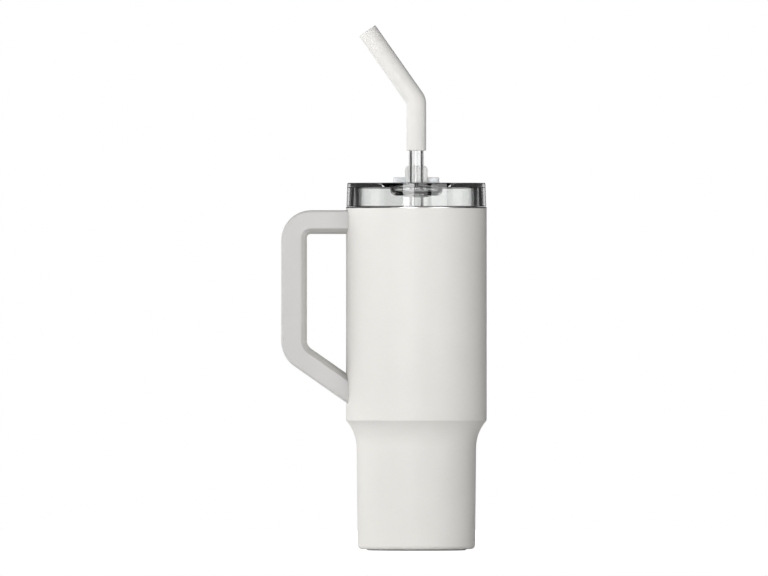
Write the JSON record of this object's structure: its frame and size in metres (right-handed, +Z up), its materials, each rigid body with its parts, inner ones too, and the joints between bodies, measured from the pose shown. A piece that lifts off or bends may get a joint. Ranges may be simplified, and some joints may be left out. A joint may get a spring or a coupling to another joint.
{
  "type": "insulated tumbler with lid",
  "caption": "Tall double-walled steel tumbler with a stepped-in base, side handle, clear press-in lid with a flip cap over its sip slot, and a sliding straw with a bent mouthpiece.",
  "frame": {"origin": "centre of the base on the body's axis, on the face that the tumbler stands on", "axes": "+Z up along the body's axis, -X towards the handle, +Y towards the sip slot, -Y towards the vent hole"},
  "size_m": [0.1396, 0.0956, 0.3566],
  "materials": {
    "powder_coat": "fine matte powder coat on stainless steel",
    "liner_steel": "bare electropolished stainless steel",
    "solder": "dull solder",
    "getter": "sintered metal pellet",
    "copper": "bright copper foil",
    "pad_silicone": "matte silicone",
    "bracket_steel": "pressed stainless steel",
    "handle_plastic": "fine matte moulded plastic",
    "handle_soft": "soft-touch elastomer",
    "screw_steel": "stainless fastener steel",
    "insert_brass": "turned brass",
    "clear_plastic": "clear polished copolyester",
    "seal_silicone": "translucent silicone",
    "white_silicone": "milky translucent silicone",
    "cap_plastic": "satin moulded plastic",
    "mouthpiece_silicone": "matte silicone"
  },
  "bodies": {
    "cup": {"outer_shell": "powder_coat", "inner_liner": "liner_steel", "base_plate": "liner_steel", "vacuum_seal": "solder", "getter_pellet": "getter", "copper_foil": "copper", "base_pad": "pad_silicone", "upper_bracket": "bracket_steel", "lower_bracket": "bracket_steel", "handle_frame": "handle_plastic", "handle_cover": "handle_soft", "handle_screws": "screw_steel", "handle_inserts": "insert_brass"},
    "lid": {"lid_shell": "clear_plastic", "lid_gasket": "seal_silicone", "straw_grommet": "seal_silicone", "sip_seat": "white_silicone", "hinge_pin": "screw_steel"},
    "flip_cap": {"flip_cap": "cap_plastic", "cap_plug": "white_silicone"},
    "straw": {"straw_tube": "clear_plastic"},
    "mouthpiece": {"mouthpiece": "mouthpiece_silicone"}
  },
  "joints": [
    {"name": "lid_lift", "type": "slide", "parent": "cup", "child": "lid", "axis": [0, 0, 1], "range_m": [0, 0.225]},
    {"name": "flip_cap_hinge", "type": "hinge", "parent": "lid", "child": "flip_cap", "pos_m": [0, 0.0228, 0.2519], "axis": [-1, 0, 0], "range_deg": [0, 90]},
    {"name": "straw_slide", "type": "slide", "parent": "lid", "child": "straw", "axis": [0, 0, 1], "range_m": [-0.006, 0.045]},
    {"name": "mouthpiece_turn", "type": "hinge", "parent": "straw", "child": "mouthpiece", "pos_m": [0, 0, 0.28], "axis": [0, 0, 1], "continuous": true}
  ]
}
